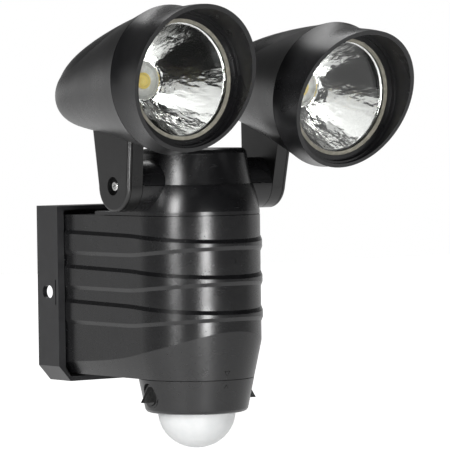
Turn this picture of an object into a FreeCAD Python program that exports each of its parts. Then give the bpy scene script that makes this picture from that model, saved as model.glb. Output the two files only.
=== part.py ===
import FreeCAD
import Part
import math
import os

# Wall-mounted battery security light: a body on a wall bracket, two tilting
# lamp heads on side arms above it, and a twist-on movement sensor below it.
# Millimetres. Origin: centre of the bracket's back face, on the wall.
# X runs along the wall, -Y points into the room, +Z is up.

V = FreeCAD.Vector
X_AXIS = V(1, 0, 0)
Y_AXIS = V(0, 1, 0)
Z_AXIS = V(0, 0, 1)

# ---------------------------------------------------------------- clearances
part_gap = 0.3            # between pieces that move past each other
shadow_gap = 0.35         # visible seam between two mouldings
running_gap = 0.06        # radial, shaft in its bearing
screw_fit = 0.2           # radial, screw through a clearance hole
thread_gap = 0.02         # radial, screw in its nut

# -------------------------------------------------------------- wall bracket
bracket_width = 86.0
bracket_height = 102.0
bracket_depth = 21.3
bracket_wall = 3.0
bracket_rim_side = 4.6    # width of the front rim at the sides
bracket_rim_top = 2.2     # and at the top
bracket_rim_foot = 2.8    # and at the bottom
bracket_rim_depth = 5.5
bracket_corner_x = 8.0
bracket_corner_z = 8.9
back_plate = 2.6
wall_hole_x = 40.0        # spacing of the four wall screws
wall_hole_z = 60.0
wall_hole_r = 2.3
side_hole_long = 10.4
side_hole_high = 7.6
side_hole_y = -10.4
side_hole_z = 1.0
slit_high = 14.5
slit_wide = 1.0
slit_y = -18.6
window_wide = 13.0        # openings in the back plate behind the side holes
window_high = 34.0
clip_thick = 0.8
clip_wide = 14.0
clip_reach = 10.2
clip_gap = 0.15
rivet_r = 1.1
rivet_head_r = 1.4
rivet_head_thick = 0.4
rivet_sink = 0.6          # rivet's back end below the wall face

# ------------------------------------------------------------------- housing
housing_r = 37.5
housing_wall = 2.3
housing_top_z = 46.0
housing_height = 92.5
column_y = -97.05         # axis of the round front
housing_rear_y = -16.3
foot_r = 33.0             # radius at the bottom seam
foot_rear = 32.4          # half width of the foot at the wall side
foot_mid_z = 12.5         # heights above the bottom where the foot is shaped
foot_mid_side = 36.7
foot_mid_front = 35.1
foot_mid_rear = 41.4
foot_top_z = 30.5
foot_top_side = 41.8
foot_top_front = 38.0
foot_top_rear = 54.0
band_proud = 1.0
band_pitch = 20.0
band_count = 3
band_drop = 8.8           # housing top to the first band, at the wall
band_rear_high = 14.3
band_column_drop = 10.1   # the same two sizes beside the column
band_column_high = 13.2
band_front_drop = 13.5    # and on the front of the column
band_front_high = 5.7
band_bend = 8.0
band_bevel = 0.9
band_bevel_high = 2.2
dimple_r = 1.4
dimple_deep = 0.3
dimple_drop = 25.5
arrow_rise = 3.6          # arrow mark above the bottom seam
top_hole_r = 24.0
tongue_wide = 16.0
tongue_thick = 2.6
tongue_long = 11.0
boss_long = 9.0           # screw bosses inside the housing
boss_r = 3.2
holder_post_x = 27.0
holder_post_rear = 14.0   # behind the door wall
holder_post_front = 24.0  # behind the column's axis

# -------------------------------------------------------------- battery door
door_open_x = 64.0
door_open_z = 68.0
door_width = 72.8
door_height = 84.4
door_thick = 2.0
seal_thick = 0.8
seal_width = 2.7
door_screw_x = 30.0
door_screw_z = 39.6
screw_r = 1.5
screw_head_r = 2.9
screw_head_high = 2.0
door_screw_long = 8.0
door_corner_r = 3.0
door_rib_x = 18.0
door_rib_thick = 1.6
door_rib_deep = 4.0
door_rib_margin = 3.0

# ------------------------------------------------------------- battery space
cell_r = 16.7
cell_long = 60.0
cell_gap = 0.8
cell_nub_r = 4.7
cell_nub_high = 1.5
cell_base_z = -30.6
cell_rim = 0.8
cell_rear_gap = 2.1
cell_front_gap = 0.6
spring_high = 3.5
spring_wire = 1.5
spring_taper = 2.5
spring_r = 8.0
contact_thick = 0.6
contact_r = 9.0
holder_plate = 2.0
holder_half_x = 33.4
holder_post_half = 2.4

# -------------------------------------------------------------- driver board
board_thick = 1.6
driver_y = -104.0
driver_half_x = 24.0
driver_half_z = 27.0
board_post_x = 20.0
board_post_z = 22.0
capacitor_r = 5.0
capacitor_long = 16.0
coil_r = 7.0
coil_high = 7.0
coil_core_r = 5.0
coil_core_high = 2.0
driver_part_x = 12.0      # capacitor and coil, left and right of centre
driver_part_z = -10.0

# ---------------------------------------------------------- collar and knuckles
lid_length = 45.0         # lid plate behind the column's axis
lid_thick = 2.0
collar_foot_r = 37.4
collar_mid_r = 36.15
collar_mid_z = 9.3
collar_seam_r = 33.6
collar_wall = 2.3
pivot_rise = 17.4         # housing top to the pivot axis
pivot_back = 0.5          # pivot axis behind the column's axis
cap_seam_r = 33.2
cap_shoulder_r = 30.4
cap_high = 20.5           # above the pivot axis
cap_round = 3.6
knuckle_r = 14.6
knuckle_wall = 2.3
knuckle_end = 45.4
knuckle_end_wall = 2.2
bearing_r = 8.06
cable_hole_r = 12.0
lid_screw_x = 19.0
lid_screw_y = 15.0
lid_screw_long = 9.0
cap_screw_long = 12.0
cap_screw_sink = 0.6      # depth of its head's seat in the lid
ring_seal_fit = 0.2       # a ring seal in its groove, at each side
collar_seal_out = 30.4
collar_seal_in = 27.6
collar_seal_sink = 0.7

# --------------------------------------------------------------- sensor unit
sensor_top_r = 33.0
sensor_foot_r = 29.0
sensor_high = 19.2
sensor_wall = 2.2
sensor_round = 1.8
spigot_r = 27.2
spigot_wall = 2.0
spigot_high = 6.4
lug_reach = 2.8
lug_angle = 24.0
lug_high = 2.0
twist_angle = 35.0
dome_r = 22.1
dome_high = 20.8
dome_wall = 1.0
dome_flange_r = 25.6
ring_high = 1.5
ring_out = 26.0
ring_in = 22.6
dome_seat = 1.5           # sensor cap's lip under the dome's flange
cap_seal_out = 31.0
cap_seal_in = 29.6
cap_seal_sink = 1.0
cap_seal_proud = 0.1
sensor_board_r = 25.0
pyro_r = 4.6
pyro_high = 4.2
pyro_base = 0.7
pyro_base_high = 0.6
light_cell_r = 2.5
light_cell_high = 2.0
light_cell_x = 12.0
knob_r = 6.1
knob_thick = 2.4
knob_drop = 8.3           # below the sensor unit's top
knob_fin_thick = 2.4
knob_fin_low = 5.6
knob_fin_high = 0.6
knob_shaft_r = 1.5
knob_cup_wall = 1.4
knob_cup_floor = 1.5
mode_knob_angle = -95.0   # from the front, about the column
timer_knob_angle = 76.0
switch_size = 10.0
switch_deep = 6.0
switch_back = 4.0         # switch face behind the cup's floor
arrow_angle = -5.0
arrow_size = 3.0
arrow_line = 0.35
arrow_deep = 0.3
arrow_slope = 0.7         # wall radius gained or lost between the seam and the mark

# ---------------------------------------------------------------------- arms
arm_inner_x = 45.7
arm_outer_x = 55.8
arm_cover_thick = 2.4
arm_groove = 0.35
arm_end_r = 14.6
arm_front_lean = 3.0      # edges spread by this much over arm_edge_high
arm_back_lean = 6.5
arm_edge_high = 40.0
arm_wall = 2.0
arm_edge_round = 1.8
pivot_cup_r = 5.2
pivot_cup_deep = 3.1
pivot_cup_floor = 1.4
pivot_cup_wall = 1.2
spigot_pivot_r = 8.0
washer_r = 11.0
washer_thick = 1.0
nut_r = 3.2
nut_thick = 2.4
lead_r = 1.5
lead_rise = 5.0           # lead's way through the spigot, above the pivot
pillar_r = 4.4
pivot_seal_out = 11.2
pivot_seal_in = 9.6
pivot_seal_sink = 0.8
pivot_seal_gap = 0.1
arm_screw_forward = (9.0, -13.0)
arm_screw_x = 50.0
arm_screw_long = 9.0
arm_screw_lift = 1.4      # screw seat above the shell's inner face

# --------------------------------------------------------------------- heads
head_x = 52.15
head_forward = 62.2       # lens plane ahead of the pivot, head level
head_up = 58.5            # head axis above the pivot, head level
left_tilt = 0.2           # photographed elevation of each head's axis
right_tilt = -8.7
shell_seam_r = 41.2
shell_seam_a = -8.9       # seam behind the lens plane
shell_long = 101.6
shell_taper = 0.636
shell_blunt = 15.3
shell_sag = 8.7
shell_sag_power = 1.8
shell_wall = 2.2
crest_r = 34.5            # the narrower raised form along the shell's top
crest_rise = 6.0
crest_long = 101.3
crest_taper = 0.555
crest_blunt = 10.4
crest_sag = 12.9
crest_sag_power = 2.28
arm_fit = 0.1             # between an arm and the shell that sits on it
shell_web_a = -44.2
shell_web_r = 15.5
shell_web_thick = 2.0
lead_hole_back = 2.0      # leads' way into the head, behind the pivot
bezel_plug_r = 37.4       # the bezel's back end, inside the shell
bezel_plug_wall = 1.8
bezel_plug_long = 5.0
hood_valley_a = 4.0
hood_valley_r = 39.8
hood_lip_a = 14.0
hood_lip_r = 40.3
hood_end_a = 30.0
hood_end_r = 39.6
hood_wall = 1.9
hood_cut_a = 13.4         # rim plane: forward of the lens plane on the axis
hood_cut_slope = 0.25     # and further forward towards the top
bezel_ledge_a = 3.0       # step inside the hood, ahead of the lens plane
bezel_lip_a = 0.8
bezel_lip_back = -0.55
bezel_lip_fit = 0.1
bezel_bore_end = -4.4
lens_fit = 0.2
lens_r = 34.5
lens_thick = 2.35
lens_back_a = -2.95
seal_ring_r = 31.1
seal_ring_out = 33.15
seal_ring_front = 0.3
lens_bevel = 0.4
mirror_r = 31.05
mirror_neck_r = 11.2
mirror_neck_a = -35.0
mirror_wall = 1.2
emitter_board_r = 12.0
emitter_a = -37.5
emitter_base_r = 4.6
emitter_dome_r = 3.4
emitter_base_high = 0.9
emitter_dome_sink = 0.3
sink_r = 18.0
sink_base = 3.0
sink_fins = 5
sink_fin_long = 12.0
sink_fin_thick = 1.6


os.makedirs("parts", exist_ok=True)


# ------------------------------------------------------------- shape helpers
def save(name, *solids):
    shape = solids[0] if len(solids) == 1 else Part.makeCompound(list(solids))
    shape.exportStep("parts/" + name + ".step")
    print(name, len(shape.Solids), round(shape.Volume, 1), shape.isValid())


def box(x0, x1, y0, y1, z0, z1):
    corner = V(min(x0, x1), min(y0, y1), min(z0, z1))
    return Part.makeBox(abs(x1 - x0), abs(y1 - y0), abs(z1 - z0), corner)


def rod(radius, start, end):
    along = end - start
    return Part.makeCylinder(radius, along.Length, start, along)


def tube_wall(outer, inner, start, end):
    return rod(outer, start, end).cut(rod(inner, start, end))


def polygon(points):
    return Part.Wire(Part.makePolygon(points + [points[0]]))


def slab(points, direction):
    return Part.Face(polygon(points)).extrude(direction)


def lathe(points, base=V(0, 0, 0), axis=Z_AXIS):
    """Turn a closed outline of (radius, height) points about the axis."""
    outline = Part.Face(polygon([V(r, 0, h) for r, h in points]))
    solid = outline.revolve(V(0, 0, 0), Z_AXIS, 360)
    solid.Placement = FreeCAD.Placement(base, FreeCAD.Rotation(Z_AXIS, axis))
    return solid


def lathe_edges(edges, base=V(0, 0, 0), axis=Z_AXIS):
    """Turn a closed outline of edges in the XZ plane about the axis."""
    outline = Part.Face(Part.Wire(Part.__sortEdges__(edges)))
    solid = outline.revolve(V(0, 0, 0), Z_AXIS, 360)
    solid.Placement = FreeCAD.Placement(base, FreeCAD.Rotation(Z_AXIS, axis))
    return solid


def line(start, end):
    return Part.LineSegment(start, end).toShape()


def arc(start, middle, end):
    return Part.Arc(start, middle, end).toShape()


def fused(solids):
    whole = solids[0]
    for solid in solids[1:]:
        whole = whole.fuse(solid)
    return whole.removeSplitter()


def cut_all(solid, tools):
    for tool in tools:
        solid = solid.cut(tool)
    return solid


# ---------------------------------------------------------- derived positions
housing_bottom_z = housing_top_z - housing_height
bracket_top_z = bracket_height / 2
pivot_y = column_y + pivot_back
pivot_z = housing_top_z + pivot_rise
sensor_top_z = housing_bottom_z - shadow_gap
sensor_foot_z = sensor_top_z - sensor_high
knob_z = sensor_top_z - knob_drop
door_y = housing_rear_y + seal_thick
column_base = V(0, column_y, 0)
cap_screw_y = top_hole_r - screw_head_r - part_gap


# -------------------------------------------------------------- wall bracket
def bracket_outline(side, top, foot, y):
    """The bracket's front view, drawn inwards by a margin on each side."""
    half = bracket_width / 2 - side
    high = bracket_top_z - top
    low = -bracket_top_z + foot
    slope = bracket_corner_z / bracket_corner_x
    corner = bracket_corner_x - side + foot / slope - (side * 0.45 if side else 0)
    corner = max(corner, 1.0)
    return [V(-half, y, high), V(half, y, high), V(half, y, low + corner * slope),
            V(half - corner, y, low), V(corner - half, y, low),
            V(-half, y, low + corner * slope)]


def side_hole():
    straight = (side_hole_long - side_hole_high) / 2
    radius = side_hole_high / 2
    reach = bracket_width
    ends = [rod(radius, V(-reach, side_hole_y + step, side_hole_z),
                V(reach, side_hole_y + step, side_hole_z)) for step in (-straight, straight)]
    middle = box(-reach, reach, side_hole_y - straight, side_hole_y + straight,
                 side_hole_z - radius, side_hole_z + radius)
    return fused([ends[0], middle, ends[1]])


def wall_bracket():
    outer = slab(bracket_outline(0, 0, 0, 0), V(0, -bracket_depth, 0))
    tray = slab(bracket_outline(bracket_wall, bracket_wall, bracket_wall, -back_plate),
                V(0, -(bracket_depth - back_plate - bracket_rim_depth), 0))
    mouth = slab(bracket_outline(bracket_rim_side, bracket_rim_top, bracket_rim_foot,
                                 -bracket_depth + bracket_rim_depth + 1.0),
                 V(0, -bracket_rim_depth - 2.0, 0))
    body = outer.cut(tray).cut(mouth).cut(side_hole())
    inner = bracket_width / 2 - bracket_wall
    for side in (-1, 1):
        body = body.cut(box(side * (inner - window_wide), side * inner, -back_plate - 1, 1,
                            side_hole_z - window_high / 2, side_hole_z + window_high / 2))
        edge = side * bracket_width / 2
        body = body.cut(box(edge - side * 1.4, edge + side, slit_y - slit_wide / 2,
                            slit_y + slit_wide / 2, side_hole_z - slit_high / 2,
                            side_hole_z + slit_high / 2))
        for up in (-1, 1):
            x = side * wall_hole_x / 2
            z = up * wall_hole_z / 2
            body = body.cut(rod(wall_hole_r, V(x, 1, z), V(x, -back_plate - 1, z)))
    for up in (-1, 1):
        z = up * tongue_centre_z()
        body = body.cut(rod(rivet_r, V(0, 1, z), V(0, -back_plate - 1, z)))
    return body


def tongue_centre_z():
    """Height of the housing's two tongues, in line with its top and bottom walls."""
    return housing_top_z - tongue_thick / 2 - 0.5


def spring_clip(up):
    """A steel U that grips one tongue of the housing."""
    z = up * tongue_centre_z()
    half_gap = tongue_thick / 2 + clip_gap
    outer = box(-clip_wide / 2, clip_wide / 2, -back_plate - clip_reach, -back_plate,
                z - half_gap - clip_thick, z + half_gap + clip_thick)
    inner = box(-clip_wide, clip_wide, -back_plate - clip_reach - 1,
                -back_plate - clip_thick, z - half_gap, z + half_gap)
    hole = rod(rivet_r, V(0, 1, z), V(0, -back_plate - clip_thick - 1, z))
    return outer.cut(inner).cut(hole)


def clip_rivet(up):
    z = up * tongue_centre_z()
    seat_y = -back_plate - clip_thick
    shank = rod(rivet_r, V(0, -rivet_sink, z), V(0, seat_y, z))
    head = rod(rivet_head_r, V(0, seat_y, z), V(0, seat_y - rivet_head_thick, z))
    return fused([shank, head])


save("wall_bracket", wall_bracket())
save("spring_clips", spring_clip(1), spring_clip(-1))
save("clip_rivets", clip_rivet(1), clip_rivet(-1))


# ------------------------------------------------------------------- housing
def plan_face(half, rear_y, z):
    """The housing seen from above: round front, straight sides."""
    edges = [line(V(-half, rear_y, z), V(-half, column_y, z)),
             arc(V(-half, column_y, z), V(0, column_y - half, z), V(half, column_y, z)),
             line(V(half, column_y, z), V(half, rear_y, z)),
             line(V(half, rear_y, z), V(-half, rear_y, z))]
    return Part.Face(Part.Wire(edges))


def foot_wire(side, front, rear, rear_y, z):
    edges = [line(V(-rear, rear_y, z), V(-side, column_y, z)),
             arc(V(-side, column_y, z), V(0, column_y - front, z), V(side, column_y, z)),
             line(V(side, column_y, z), V(rear, rear_y, z)),
             line(V(rear, rear_y, z), V(-rear, rear_y, z))]
    return Part.Wire(edges)


def housing_solid(inset, low_z, high_z, rear_y):
    """The housing's outside, or its inside when inset by the wall."""
    split_z = housing_bottom_z + foot_top_z
    upper = plan_face(housing_r - inset, rear_y, split_z).extrude(V(0, 0, high_z - split_z))
    lower = plan_face(housing_r - inset, rear_y, low_z).extrude(V(0, 0, split_z - low_z))
    sections = []
    for rise, side, front, rear in (
            (0, foot_r, foot_r, foot_rear),
            (foot_mid_z, foot_mid_side, foot_mid_front, foot_mid_rear),
            (foot_top_z, foot_top_side, foot_top_front, foot_top_rear)):
        sections.append(foot_wire(side - inset, front - inset, rear - inset, rear_y,
                                  housing_bottom_z + rise))
    foot = Part.makeLoft(sections, True, False)
    return fused([upper, lower.common(foot)])


def band_outline(step):
    """Side view of one raised band: tall at the wall, narrow at the front."""
    top = housing_top_z - step * band_pitch
    rear_y = -bracket_depth - 2 * part_gap
    bend_y = column_y + band_bend
    front_y = column_y - housing_r - band_proud - 1.0
    outline = []
    for side in (1, -1):
        if side == 1:
            levels = [top - band_drop, top - band_column_drop, top - band_front_drop]
        else:
            levels = [top - band_drop - band_rear_high,
                      top - band_column_drop - band_column_high,
                      top - band_front_drop - band_front_high]
        rear = V(0, rear_y, levels[0])
        bend = V(0, bend_y, levels[1])
        front = V(0, front_y, levels[2])
        to_rear = (rear - bend).normalize()
        to_front = (front - bend).normalize()
        half = math.acos(to_rear.dot(to_front)) / 2
        middle_way = (to_rear + to_front).normalize()
        radius = band_bend * math.tan(half)
        middle = bend + middle_way * (band_bend / math.cos(half) - radius)
        start = bend + to_rear * band_bend
        end = bend + to_front * band_bend
        outline.append([rear, start, middle, end, front])
    upper, lower = outline
    edges = []
    for rear, start, middle, end, front in outline:
        edges += [line(rear, start), arc(start, middle, end), line(end, front)]
    edges.append(line(upper[0], lower[0]))
    edges.append(line(upper[-1], lower[-1]))
    face = Part.Face(Part.Wire(Part.__sortEdges__(edges)))
    face.translate(V(-2 * housing_r, 0, 0))
    return face


def housing_band(step):
    ring = plan_face(housing_r + band_proud, -bracket_depth, housing_bottom_z)
    ring = ring.extrude(V(0, 0, housing_height))
    core = plan_face(housing_r - housing_wall / 2, 0, housing_bottom_z - 1)
    core = core.extrude(V(0, 0, housing_height + 2))
    band = ring.common(band_outline(step).extrude(V(4 * housing_r, 0, 0)))
    outer = housing_r + band_proud
    edges = [edge for edge in band.Edges if is_band_edge(edge, outer)]
    band = band.makeChamfer(band_bevel_high, band_bevel, edges)
    return band.cut(core)


def is_band_edge(edge, outer):
    """True for the long upper and lower edges on the band's outer face."""
    start = edge.valueAt(edge.FirstParameter)
    middle = edge.valueAt((edge.FirstParameter + edge.LastParameter) / 2)
    for point in (start, middle):
        if point.y > column_y:
            distance = abs(point.x)
        else:
            distance = math.hypot(point.x, point.y - column_y)
        if abs(distance - outer) > 0.01:
            return False
    end = edge.valueAt(edge.LastParameter)
    return math.hypot(end.x - start.x, end.y - start.y) > 0.5


def arrow_mark(z, up, radius):
    """An outlined triangle, cut into the round wall."""
    half = arrow_size * 0.62
    tip = V(0, 0, up * arrow_size / 2)
    base = -up * arrow_size / 2
    outer = [tip, V(half, 0, base), V(-half, 0, base)]
    scale = 1 - arrow_line * 2.4 / arrow_size
    middle = V(0, 0, -up * arrow_size / 6)
    inner = [middle + (point - middle) * scale for point in outer]
    ring = slab(outer, V(0, 4, 0)).cut(slab(inner, V(0, 4, 0)))
    ring.translate(V(0, column_y - radius - 4 + arrow_deep, z))
    ring.rotate(column_base, Z_AXIS, arrow_angle)
    return ring


def lug(angle, grow):
    """One bayonet lug, or with grow its notch in the housing."""
    reach = spigot_r + lug_reach + grow
    low = housing_bottom_z + housing_wall + part_gap
    high = low + lug_high
    if grow:
        low = housing_bottom_z - 1
        high = housing_bottom_z + housing_wall + 1
    half = math.radians(lug_angle / 2 + grow * 3)
    corners = [V(0, 0, low)]
    for turn in (-half, 0, half):
        corners.append(V(2 * reach * math.sin(turn), -2 * reach * math.cos(turn), low))
    wedge = slab(corners, V(0, 0, high - low))
    ring = tube_wall(reach, spigot_r - 1.0, V(0, 0, low), V(0, 0, high))
    solid = ring.common(wedge)
    solid.rotate(V(0, 0, 0), Z_AXIS, angle)
    solid.translate(column_base)
    return solid


lug_angles = (0.0, 120.0, 240.0)


def corner_points(x, z):
    return [(side * x, up * z) for side in (-1, 1) for up in (-1, 1)]


def lid_screw_places():
    return [(x, column_y + y) for x, y in corner_points(lid_screw_x, lid_screw_y)]


def housing():
    shell = housing_solid(0, housing_bottom_z, housing_top_z, housing_rear_y)
    bands = [housing_band(step) for step in range(band_count)]
    shell = fused([shell] + bands)
    inside = housing_solid(housing_wall, housing_bottom_z + housing_wall,
                           housing_top_z - housing_wall, housing_rear_y - housing_wall)
    shell = shell.cut(inside)
    shell = shell.cut(rod(top_hole_r, V(0, column_y, 0), V(0, column_y, housing_top_z + 1)))
    shell = shell.cut(rod(spigot_r + part_gap, V(0, column_y, housing_bottom_z - 1),
                          V(0, column_y, housing_bottom_z + housing_wall + 1)))
    shell = cut_all(shell, [lug(angle + twist_angle, part_gap) for angle in lug_angles])
    shell = shell.cut(box(-door_open_x / 2, door_open_x / 2, housing_rear_y - 4,
                          housing_rear_y + 1, -door_open_z / 2, door_open_z / 2))
    extras = []
    for up in (-1, 1):
        z = up * tongue_centre_z()
        extras.append(box(-tongue_wide / 2, tongue_wide / 2, housing_rear_y - 1,
                          housing_rear_y + tongue_long,
                          z - tongue_thick / 2, z + tongue_thick / 2))
        for side in (-1, 1):
            boss_y = housing_rear_y - boss_long
            extras.append(rod(boss_r, V(side * door_screw_x, boss_y, up * door_screw_z),
                              V(side * door_screw_x, housing_rear_y - 1, up * door_screw_z)))
    for side in (-1, 1):
        for y in (housing_rear_y - holder_post_rear, column_y + holder_post_front):
            extras.append(rod(boss_r, V(side * holder_post_x, y, housing_bottom_z + 1),
                              V(side * holder_post_x, y, holder_low_z())))
    for x, y in lid_screw_places():
        extras.append(rod(boss_r, V(x, y, housing_top_z - boss_long),
                          V(x, y, housing_top_z - 1)))
    shell = fused([shell] + extras)
    for x, z in corner_points(door_screw_x, door_screw_z):
        shell = shell.cut(rod(screw_r, V(x, housing_rear_y - boss_long + 1, z),
                              V(x, housing_rear_y + 1, z)))
    for x, y in lid_screw_places():
        shell = shell.cut(rod(screw_r, V(x, y, housing_top_z - boss_long + 1),
                              V(x, y, housing_top_z + 1)))
    front_y = column_y - housing_r
    dimple_z = housing_top_z - dimple_drop
    shell = shell.cut(rod(dimple_r, V(0, front_y - 1, dimple_z),
                          V(0, front_y + dimple_deep, dimple_z)))
    return shell.cut(arrow_mark(housing_bottom_z + arrow_rise, -1, foot_r + arrow_slope))


def holder_low_z():
    return cell_base_z - spring_high - holder_plate


save("housing", housing())


# -------------------------------------------------------------- battery door
def cross_screw(seat, out, length):
    """A pan-head cross-slot screw; seat is under its head, out points away."""
    slot_half = 0.4
    slot_deep = 0.9
    slot_turn = 20
    shank = rod(screw_r, seat, seat - out * length)
    head = rod(screw_head_r, seat, seat + out * screw_head_high)
    rim = [edge for edge in head.Edges
           if abs((edge.CenterOfMass - seat).dot(out) - screw_head_high) < 0.01]
    head = head.makeFillet(screw_head_high * 0.42, rim)
    slot_long = screw_head_r * 1.1
    slots = []
    for turn in (0, 90):
        slot = box(-slot_long / 2, slot_long / 2, -slot_half, slot_half,
                   screw_head_high - slot_deep, screw_head_high + 1)
        slot.rotate(V(0, 0, 0), Z_AXIS, turn + slot_turn)
        slot.Placement = FreeCAD.Placement(seat, FreeCAD.Rotation(Z_AXIS, out)).multiply(
            slot.Placement)
        slots.append(slot)
    return cut_all(fused([shank, head]), slots)


def battery_door():
    plate = box(-door_width / 2, door_width / 2, door_y, door_y + door_thick,
                -door_height / 2, door_height / 2)
    upright = [edge for edge in plate.Edges if abs(edge.tangentAt(edge.FirstParameter).y) > 0.9]
    plate = plate.makeFillet(door_corner_r, upright)
    rib_z = door_open_z / 2 - door_rib_margin
    ribs = [box(side * door_rib_x - door_rib_thick / 2, side * door_rib_x + door_rib_thick / 2,
                door_y - door_rib_deep, door_y + door_thick / 2, -rib_z, rib_z)
            for side in (-1, 1)]
    plate = fused([plate] + ribs)
    for x, z in corner_points(door_screw_x, door_screw_z):
        plate = plate.cut(rod(screw_r + screw_fit, V(x, door_y - 1, z),
                              V(x, door_y + door_thick + 1, z)))
    return plate


def door_seal():
    outer = box(-door_open_x / 2 - seal_width, door_open_x / 2 + seal_width,
                housing_rear_y, door_y,
                -door_open_z / 2 - seal_width, door_open_z / 2 + seal_width)
    half_x = door_open_x / 2 + part_gap
    half_z = door_open_z / 2 + part_gap
    return outer.cut(box(-half_x, half_x, housing_rear_y - 1, door_y + 1, -half_z, half_z))


save("battery_door", battery_door())
save("door_seal", door_seal())
save("door_screws", *[cross_screw(V(x, door_y + door_thick, z), Y_AXIS, door_screw_long)
                      for x, z in corner_points(door_screw_x, door_screw_z)])


# ------------------------------------------------------------- battery space
cell_x = cell_r + cell_gap / 2
cell_rear_y = housing_rear_y - housing_wall - cell_rear_gap - cell_r
cell_front_y = cell_rear_y - 2 * cell_r - cell_gap
cell_top_z = cell_base_z + cell_long
holder_front_y = cell_front_y - cell_r - cell_front_gap
cell_places = [(-cell_x, cell_rear_y), (cell_x, cell_rear_y),
               (-cell_x, cell_front_y), (cell_x, cell_front_y)]


def battery_cell(x, y):
    edge_r = cell_r - cell_rim
    return lathe([(0, 0), (edge_r, 0), (cell_r, cell_rim), (cell_r, cell_long - cell_rim),
                  (edge_r, cell_long), (cell_nub_r, cell_long),
                  (cell_nub_r, cell_long + cell_nub_high), (0, cell_long + cell_nub_high)],
                 V(x, y, cell_base_z))


def battery_holder():
    low = holder_low_z()
    contact_z = cell_top_z + cell_nub_high + contact_thick
    high = contact_z + holder_plate
    rear_y = cell_rear_y + cell_r
    bottom = box(-holder_half_x, holder_half_x, holder_front_y - holder_plate, rear_y,
                 low, low + holder_plate)
    top = box(-holder_half_x, holder_half_x, holder_front_y - holder_plate, rear_y,
              contact_z, high)
    front = box(-holder_half_x, holder_half_x, holder_front_y - holder_plate,
                holder_front_y, low, high)
    middle_y = (cell_rear_y + cell_front_y) / 2
    post = box(-holder_post_half, holder_post_half, middle_y - holder_post_half,
               middle_y + holder_post_half, low, high)
    posts = [rod(boss_r, V(x, holder_front_y - 1, z), V(x, driver_y + board_thick, z))
             for x, z in corner_points(board_post_x, board_post_z)]
    return fused([bottom, top, front, post] + posts)


save("battery_cells", *[battery_cell(x, y) for x, y in cell_places])
save("battery_holder", battery_holder())
save("spring_contacts", *[lathe([(spring_r - spring_wire, 0), (spring_r, 0),
                                 (spring_r - spring_taper, spring_high),
                                 (spring_r - spring_taper - spring_wire, spring_high)],
                                V(x, y, cell_base_z - spring_high)) for x, y in cell_places])
save("plate_contacts", *[rod(contact_r, V(x, y, cell_top_z + cell_nub_high),
                             V(x, y, cell_top_z + cell_nub_high + contact_thick))
                         for x, y in cell_places])

# -------------------------------------------------------------- driver board
save("driver_board", box(-driver_half_x, driver_half_x, driver_y, driver_y + board_thick,
                         -driver_half_z, driver_half_z))
capacitor_y = driver_y - capacitor_r
capacitor_low_z = driver_part_z - capacitor_long / 2
save("driver_capacitor", rod(capacitor_r, V(-driver_part_x, capacitor_y, capacitor_low_z),
                             V(-driver_part_x, capacitor_y, capacitor_low_z + capacitor_long)))
coil_seat = V(driver_part_x, driver_y, driver_part_z)
coil_face = coil_seat - Y_AXIS * coil_high
save("driver_coil", fused([rod(coil_r, coil_seat, coil_face),
                           rod(coil_core_r, coil_face, coil_face - Y_AXIS * coil_core_high)]))


# ----------------------------------------------------------- lower collar, cap
lid_low_z = housing_top_z + shadow_gap
seam_low_z = pivot_z - shadow_gap / 2
seam_high_z = pivot_z + shadow_gap / 2
cap_top_z = pivot_z + cap_high


def collar_outline(inset, low, high):
    """Half section of the lower collar, swelling towards its foot."""
    foot = V(collar_foot_r - inset, 0, housing_top_z + 1.5)
    middle = V(collar_mid_r - inset, 0, housing_top_z + collar_mid_z)
    seam = V(collar_seam_r - inset, 0, pivot_z)
    return [line(V(0, 0, low), V(collar_foot_r - inset, 0, low)),
            line(V(collar_foot_r - inset, 0, low), foot),
            arc(foot, middle, seam),
            line(seam, V(collar_seam_r - inset, 0, high)),
            line(V(collar_seam_r - inset, 0, high), V(0, 0, high)),
            line(V(0, 0, high), V(0, 0, low))]


def cap_solid(inset, low):
    shoulder_z = cap_top_z - cap_round
    outline = [(0, low), (cap_seam_r - inset, low), (cap_seam_r - inset, pivot_z),
               (cap_shoulder_r - inset, shoulder_z - inset * 0.4),
               (cap_shoulder_r - inset - 1.0, cap_top_z - 1.3 - inset),
               (cap_shoulder_r - inset - cap_round, cap_top_z - inset),
               (0, cap_top_z - inset)]
    return lathe(outline, column_base)


def cap_outside():
    """The top cap with its rounded shoulder."""
    shoulder_z = cap_top_z - cap_round
    lean = (cap_seam_r - cap_shoulder_r) / (shoulder_z - pivot_z)
    top_r = cap_shoulder_r - cap_round * 1.05
    middle = V(cap_shoulder_r - cap_round * 0.33, 0, cap_top_z - cap_round * 0.27)
    shoulder = V(cap_shoulder_r, 0, shoulder_z)
    foot = V(cap_shoulder_r + lean * (shoulder_z - seam_high_z), 0, seam_high_z)
    edges = [line(V(0, 0, seam_high_z), foot), line(foot, shoulder),
             arc(shoulder, middle, V(top_r, 0, cap_top_z)),
             line(V(top_r, 0, cap_top_z), V(0, 0, cap_top_z)),
             line(V(0, 0, cap_top_z), V(0, 0, seam_high_z))]
    return lathe_edges(edges, column_base)


def knuckles(radius, end):
    return rod(radius, V(-end, pivot_y, pivot_z), V(end, pivot_y, pivot_z))


def half_space(low, high):
    return box(-2 * housing_r, 2 * housing_r, column_y - 2 * housing_r, 0, low, high)


def knuckle_core():
    """Everything hollow inside the two knuckles, with their bearings."""
    room = knuckles(knuckle_r - knuckle_wall, knuckle_end - knuckle_end_wall)
    return fused([room, knuckles(bearing_r, knuckle_end + 1)])


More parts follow.
